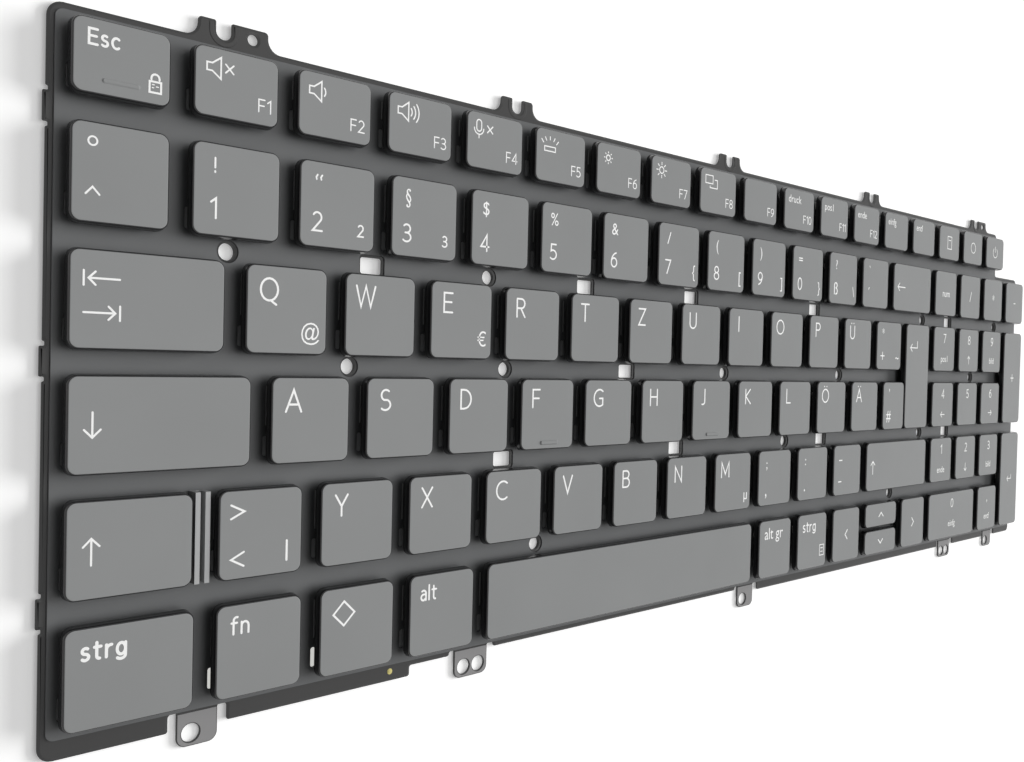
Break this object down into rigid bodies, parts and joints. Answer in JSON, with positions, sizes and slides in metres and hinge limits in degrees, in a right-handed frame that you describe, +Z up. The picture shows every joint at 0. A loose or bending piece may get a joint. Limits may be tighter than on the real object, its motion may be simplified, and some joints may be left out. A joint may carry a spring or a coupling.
{
  "type": "laptop keyboard",
  "caption": "Low backlit laptop keyboard with number pad: hollow sprung key caps on scissor levers and domes, over a membrane and a thin metal plate with screw lugs.",
  "frame": {"origin": "under the middle of the whole outline, on the face that the keyboard lies on", "axes": "+X along the key rows to the number pad, +Y from the space bar to the function row, +Z up through the key tops"},
  "size_m": [0.3354, 0.1152, 0.0047],
  "materials": {
    "key_plastic": "satin",
    "painted_plate": "satin",
    "membrane_film": "matte",
    "back_film": "matte",
    "dome_rubber": "matte",
    "lever_plastic": "matte"
  },
  "bodies": {
    "chassis": {"base_plate": "painted_plate", "membrane": "membrane_film", "backlight_unit": "back_film", "rubber_domes": "dome_rubber", "scissor_levers": "lever_plastic", "shift_filler": "key_plastic", "function_row_keycaps": "key_plastic", "number_row_keycaps": "key_plastic", "number_pad_keycaps": "key_plastic"},
    "tab_key": {"tab_keycap": "key_plastic"},
    "q_key": {"q_keycap": "key_plastic"},
    "w_key": {"w_keycap": "key_plastic"},
    "e_key": {"e_keycap": "key_plastic"},
    "r_key": {"r_keycap": "key_plastic"},
    "t_key": {"t_keycap": "key_plastic"},
    "z_key": {"z_keycap": "key_plastic"},
    "u_key": {"u_keycap": "key_plastic"},
    "i_key": {"i_keycap": "key_plastic"},
    "o_key": {"o_keycap": "key_plastic"},
    "p_key": {"p_keycap": "key_plastic"},
    "u_umlaut_key": {"u_umlaut_keycap": "key_plastic"},
    "plus_key": {"plus_keycap": "key_plastic"},
    "enter_key": {"enter_keycap": "key_plastic"},
    "caps_lock_key": {"caps_lock_keycap": "key_plastic"},
    "a_key": {"a_keycap": "key_plastic"},
    "s_key": {"s_keycap": "key_plastic"},
    "d_key": {"d_keycap": "key_plastic"},
    "f_key": {"f_keycap": "key_plastic"},
    "g_key": {"g_keycap": "key_plastic"},
    "h_key": {"h_keycap": "key_plastic"},
    "j_key": {"j_keycap": "key_plastic"},
    "k_key": {"k_keycap": "key_plastic"},
    "l_key": {"l_keycap": "key_plastic"},
    "o_umlaut_key": {"o_umlaut_keycap": "key_plastic"},
    "a_umlaut_key": {"a_umlaut_keycap": "key_plastic"},
    "hash_key": {"hash_keycap": "key_plastic"},
    "left_shift_key": {"left_shift_keycap": "key_plastic"},
    "angle_bracket_key": {"angle_bracket_keycap": "key_plastic"},
    "y_key": {"y_keycap": "key_plastic"},
    "x_key": {"x_keycap": "key_plastic"},
    "c_key": {"c_keycap": "key_plastic"},
    "v_key": {"v_keycap": "key_plastic"},
    "b_key": {"b_keycap": "key_plastic"},
    "n_key": {"n_keycap": "key_plastic"},
    "m_key": {"m_keycap": "key_plastic"},
    "comma_key": {"comma_keycap": "key_plastic"},
    "period_key": {"period_keycap": "key_plastic"},
    "minus_key": {"minus_keycap": "key_plastic"},
    "right_shift_key": {"right_shift_keycap": "key_plastic"},
    "left_control_key": {"left_control_keycap": "key_plastic"},
    "fn_key": {"fn_keycap": "key_plastic"},
    "system_key": {"system_keycap": "key_plastic"},
    "left_alt_key": {"left_alt_keycap": "key_plastic"},
    "space_key": {"space_keycap": "key_plastic"},
    "alt_gr_key": {"alt_gr_keycap": "key_plastic"},
    "right_control_key": {"right_control_keycap": "key_plastic"},
    "arrow_left_key": {"arrow_left_keycap": "key_plastic"},
    "arrow_right_key": {"arrow_right_keycap": "key_plastic"},
    "arrow_up_key": {"arrow_up_keycap": "key_plastic"},
    "arrow_down_key": {"arrow_down_keycap": "key_plastic"}
  },
  "joints": [
    {"name": "tab_press", "type": "slide", "parent": "chassis", "child": "tab_key", "axis": [0, 0, -1], "range_m": [0, 0.0015], "stiffness_N_per_m": 280, "springref_m": -0.0006, "deforming": ["rubber_domes", "scissor_levers"]},
    {"name": "q_press", "type": "slide", "parent": "chassis", "child": "q_key", "axis": [0, 0, -1], "range_m": [0, 0.0015], "stiffness_N_per_m": 280, "springref_m": -0.0006, "deforming": ["rubber_domes", "scissor_levers"]},
    {"name": "w_press", "type": "slide", "parent": "chassis", "child": "w_key", "axis": [0, 0, -1], "range_m": [0, 0.0015], "stiffness_N_per_m": 280, "springref_m": -0.0006, "deforming": ["rubber_domes", "scissor_levers"]},
    {"name": "e_press", "type": "slide", "parent": "chassis", "child": "e_key", "axis": [0, 0, -1], "range_m": [0, 0.0015], "stiffness_N_per_m": 280, "springref_m": -0.0006, "deforming": ["rubber_domes", "scissor_levers"]},
    {"name": "r_press", "type": "slide", "parent": "chassis", "child": "r_key", "axis": [0, 0, -1], "range_m": [0, 0.0015], "stiffness_N_per_m": 280, "springref_m": -0.0006, "deforming": ["rubber_domes", "scissor_levers"]},
    {"name": "t_press", "type": "slide", "parent": "chassis", "child": "t_key", "axis": [0, 0, -1], "range_m": [0, 0.0015], "stiffness_N_per_m": 280, "springref_m": -0.0006, "deforming": ["rubber_domes", "scissor_levers"]},
    {"name": "z_press", "type": "slide", "parent": "chassis", "child": "z_key", "axis": [0, 0, -1], "range_m": [0, 0.0015], "stiffness_N_per_m": 280, "springref_m": -0.0006, "deforming": ["rubber_domes", "scissor_levers"]},
    {"name": "u_press", "type": "slide", "parent": "chassis", "child": "u_key", "axis": [0, 0, -1], "range_m": [0, 0.0015], "stiffness_N_per_m": 280, "springref_m": -0.0006, "deforming": ["rubber_domes", "scissor_levers"]},
    {"name": "i_press", "type": "slide", "parent": "chassis", "child": "i_key", "axis": [0, 0, -1], "range_m": [0, 0.0015], "stiffness_N_per_m": 280, "springref_m": -0.0006, "deforming": ["rubber_domes", "scissor_levers"]},
    {"name": "o_press", "type": "slide", "parent": "chassis", "child": "o_key", "axis": [0, 0, -1], "range_m": [0, 0.0015], "stiffness_N_per_m": 280, "springref_m": -0.0006, "deforming": ["rubber_domes", "scissor_levers"]},
    {"name": "p_press", "type": "slide", "parent": "chassis", "child": "p_key", "axis": [0, 0, -1], "range_m": [0, 0.0015], "stiffness_N_per_m": 280, "springref_m": -0.0006, "deforming": ["rubber_domes", "scissor_levers"]},
    {"name": "u_umlaut_press", "type": "slide", "parent": "chassis", "child": "u_umlaut_key", "axis": [0, 0, -1], "range_m": [0, 0.0015], "stiffness_N_per_m": 280, "springref_m": -0.0006, "deforming": ["rubber_domes", "scissor_levers"]},
    {"name": "plus_press", "type": "slide", "parent": "chassis", "child": "plus_key", "axis": [0, 0, -1], "range_m": [0, 0.0015], "stiffness_N_per_m": 280, "springref_m": -0.0006, "deforming": ["rubber_domes", "scissor_levers"]},
    {"name": "enter_press", "type": "slide", "parent": "chassis", "child": "enter_key", "axis": [0, 0, -1], "range_m": [0, 0.0015], "stiffness_N_per_m": 280, "springref_m": -0.0006, "deforming": ["rubber_domes", "scissor_levers"]},
    {"name": "caps_lock_press", "type": "slide", "parent": "chassis", "child": "caps_lock_key", "axis": [0, 0, -1], "range_m": [0, 0.0015], "stiffness_N_per_m": 280, "springref_m": -0.0006, "deforming": ["rubber_domes", "scissor_levers"]},
    {"name": "a_press", "type": "slide", "parent": "chassis", "child": "a_key", "axis": [0, 0, -1], "range_m": [0, 0.0015], "stiffness_N_per_m": 280, "springref_m": -0.0006, "deforming": ["rubber_domes", "scissor_levers"]},
    {"name": "s_press", "type": "slide", "parent": "chassis", "child": "s_key", "axis": [0, 0, -1], "range_m": [0, 0.0015], "stiffness_N_per_m": 280, "springref_m": -0.0006, "deforming": ["rubber_domes", "scissor_levers"]},
    {"name": "d_press", "type": "slide", "parent": "chassis", "child": "d_key", "axis": [0, 0, -1], "range_m": [0, 0.0015], "stiffness_N_per_m": 280, "springref_m": -0.0006, "deforming": ["rubber_domes", "scissor_levers"]},
    {"name": "f_press", "type": "slide", "parent": "chassis", "child": "f_key", "axis": [0, 0, -1], "range_m": [0, 0.0015], "stiffness_N_per_m": 280, "springref_m": -0.0006, "deforming": ["rubber_domes", "scissor_levers"]},
    {"name": "g_press", "type": "slide", "parent": "chassis", "child": "g_key", "axis": [0, 0, -1], "range_m": [0, 0.0015], "stiffness_N_per_m": 280, "springref_m": -0.0006, "deforming": ["rubber_domes", "scissor_levers"]},
    {"name": "h_press", "type": "slide", "parent": "chassis", "child": "h_key", "axis": [0, 0, -1], "range_m": [0, 0.0015], "stiffness_N_per_m": 280, "springref_m": -0.0006, "deforming": ["rubber_domes", "scissor_levers"]},
    {"name": "j_press", "type": "slide", "parent": "chassis", "child": "j_key", "axis": [0, 0, -1], "range_m": [0, 0.0015], "stiffness_N_per_m": 280, "springref_m": -0.0006, "deforming": ["rubber_domes", "scissor_levers"]},
    {"name": "k_press", "type": "slide", "parent": "chassis", "child": "k_key", "axis": [0, 0, -1], "range_m": [0, 0.0015], "stiffness_N_per_m": 280, "springref_m": -0.0006, "deforming": ["rubber_domes", "scissor_levers"]},
    {"name": "l_press", "type": "slide", "parent": "chassis", "child": "l_key", "axis": [0, 0, -1], "range_m": [0, 0.0015], "stiffness_N_per_m": 280, "springref_m": -0.0006, "deforming": ["rubber_domes", "scissor_levers"]},
    {"name": "o_umlaut_press", "type": "slide", "parent": "chassis", "child": "o_umlaut_key", "axis": [0, 0, -1], "range_m": [0, 0.0015], "stiffness_N_per_m": 280, "springref_m": -0.0006, "deforming": ["rubber_domes", "scissor_levers"]},
    {"name": "a_umlaut_press", "type": "slide", "parent": "chassis", "child": "a_umlaut_key", "axis": [0, 0, -1], "range_m": [0, 0.0015], "stiffness_N_per_m": 280, "springref_m": -0.0006, "deforming": ["rubber_domes", "scissor_levers"]},
    {"name": "hash_press", "type": "slide", "parent": "chassis", "child": "hash_key", "axis": [0, 0, -1], "range_m": [0, 0.0015], "stiffness_N_per_m": 280, "springref_m": -0.0006, "deforming": ["rubber_domes", "scissor_levers"]},
    {"name": "left_shift_press", "type": "slide", "parent": "chassis", "child": "left_shift_key", "axis": [0, 0, -1], "range_m": [0, 0.0015], "stiffness_N_per_m": 280, "springref_m": -0.0006, "deforming": ["rubber_domes", "scissor_levers"]},
    {"name": "angle_bracket_press", "type": "slide", "parent": "chassis", "child": "angle_bracket_key", "axis": [0, 0, -1], "range_m": [0, 0.0015], "stiffness_N_per_m": 280, "springref_m": -0.0006, "deforming": ["rubber_domes", "scissor_levers"]},
    {"name": "y_press", "type": "slide", "parent": "chassis", "child": "y_key", "axis": [0, 0, -1], "range_m": [0, 0.0015], "stiffness_N_per_m": 280, "springref_m": -0.0006, "deforming": ["rubber_domes", "scissor_levers"]},
    {"name": "x_press", "type": "slide", "parent": "chassis", "child": "x_key", "axis": [0, 0, -1], "range_m": [0, 0.0015], "stiffness_N_per_m": 280, "springref_m": -0.0006, "deforming": ["rubber_domes", "scissor_levers"]},
    {"name": "c_press", "type": "slide", "parent": "chassis", "child": "c_key", "axis": [0, 0, -1], "range_m": [0, 0.0015], "stiffness_N_per_m": 280, "springref_m": -0.0006, "deforming": ["rubber_domes", "scissor_levers"]},
    {"name": "v_press", "type": "slide", "parent": "chassis", "child": "v_key", "axis": [0, 0, -1], "range_m": [0, 0.0015], "stiffness_N_per_m": 280, "springref_m": -0.0006, "deforming": ["rubber_domes", "scissor_levers"]},
    {"name": "b_press", "type": "slide", "parent": "chassis", "child": "b_key", "axis": [0, 0, -1], "range_m": [0, 0.0015], "stiffness_N_per_m": 280, "springref_m": -0.0006, "deforming": ["rubber_domes", "scissor_levers"]},
    {"name": "n_press", "type": "slide", "parent": "chassis", "child": "n_key", "axis": [0, 0, -1], "range_m": [0, 0.0015], "stiffness_N_per_m": 280, "springref_m": -0.0006, "deforming": ["rubber_domes", "scissor_levers"]},
    {"name": "m_press", "type": "slide", "parent": "chassis", "child": "m_key", "axis": [0, 0, -1], "range_m": [0, 0.0015], "stiffness_N_per_m": 280, "springref_m": -0.0006, "deforming": ["rubber_domes", "scissor_levers"]},
    {"name": "comma_press", "type": "slide", "parent": "chassis", "child": "comma_key", "axis": [0, 0, -1], "range_m": [0, 0.0015], "stiffness_N_per_m": 280, "springref_m": -0.0006, "deforming": ["rubber_domes", "scissor_levers"]},
    {"name": "period_press", "type": "slide", "parent": "chassis", "child": "period_key", "axis": [0, 0, -1], "range_m": [0, 0.0015], "stiffness_N_per_m": 280, "springref_m": -0.0006, "deforming": ["rubber_domes", "scissor_levers"]},
    {"name": "minus_press", "type": "slide", "parent": "chassis", "child": "minus_key", "axis": [0, 0, -1], "range_m": [0, 0.0015], "stiffness_N_per_m": 280, "springref_m": -0.0006, "deforming": ["rubber_domes", "scissor_levers"]},
    {"name": "right_shift_press", "type": "slide", "parent": "chassis", "child": "right_shift_key", "axis": [0, 0, -1], "range_m": [0, 0.0015], "stiffness_N_per_m": 280, "springref_m": -0.0006, "deforming": ["rubber_domes", "scissor_levers"]},
    {"name": "left_control_press", "type": "slide", "parent": "chassis", "child": "left_control_key", "axis": [0, 0, -1], "range_m": [0, 0.0015], "stiffness_N_per_m": 280, "springref_m": -0.0006, "deforming": ["rubber_domes", "scissor_levers"]},
    {"name": "fn_press", "type": "slide", "parent": "chassis", "child": "fn_key", "axis": [0, 0, -1], "range_m": [0, 0.0015], "stiffness_N_per_m": 280, "springref_m": -0.0006, "deforming": ["rubber_domes", "scissor_levers"]},
    {"name": "system_press", "type": "slide", "parent": "chassis", "child": "system_key", "axis": [0, 0, -1], "range_m": [0, 0.0015], "stiffness_N_per_m": 280, "springref_m": -0.0006, "deforming": ["rubber_domes", "scissor_levers"]},
    {"name": "left_alt_press", "type": "slide", "parent": "chassis", "child": "left_alt_key", "axis": [0, 0, -1], "range_m": [0, 0.0015], "stiffness_N_per_m": 280, "springref_m": -0.0006, "deforming": ["rubber_domes", "scissor_levers"]},
    {"name": "space_press", "type": "slide", "parent": "chassis", "child": "space_key", "axis": [0, 0, -1], "range_m": [0, 0.0015], "stiffness_N_per_m": 280, "springref_m": -0.0006, "deforming": ["rubber_domes", "scissor_levers"]},
    {"name": "alt_gr_press", "type": "slide", "parent": "chassis", "child": "alt_gr_key", "axis": [0, 0, -1], "range_m": [0, 0.0015], "stiffness_N_per_m": 280, "springref_m": -0.0006, "deforming": ["rubber_domes", "scissor_levers"]},
    {"name": "right_control_press", "type": "slide", "parent": "chassis", "child": "right_control_key", "axis": [0, 0, -1], "range_m": [0, 0.0015], "stiffness_N_per_m": 280, "springref_m": -0.0006, "deforming": ["rubber_domes", "scissor_levers"]},
    {"name": "arrow_left_press", "type": "slide", "parent": "chassis", "child": "arrow_left_key", "axis": [0, 0, -1], "range_m": [0, 0.0015], "stiffness_N_per_m": 280, "springref_m": -0.0006, "deforming": ["rubber_domes", "scissor_levers"]},
    {"name": "arrow_right_press", "type": "slide", "parent": "chassis", "child": "arrow_right_key", "axis": [0, 0, -1], "range_m": [0, 0.0015], "stiffness_N_per_m": 280, "springref_m": -0.0006, "deforming": ["rubber_domes", "scissor_levers"]},
    {"name": "arrow_up_press", "type": "slide", "parent": "chassis", "child": "arrow_up_key", "axis": [0, 0, -1], "range_m": [0, 0.0015], "stiffness_N_per_m": 280, "springref_m": -0.0006, "deforming": ["rubber_domes", "scissor_levers"]},
    {"name": "arrow_down_press", "type": "slide", "parent": "chassis", "child": "arrow_down_key", "axis": [0, 0, -1], "range_m": [0, 0.0015], "stiffness_N_per_m": 280, "springref_m": -0.0006, "deforming": ["rubber_domes", "scissor_levers"]}
  ]
}
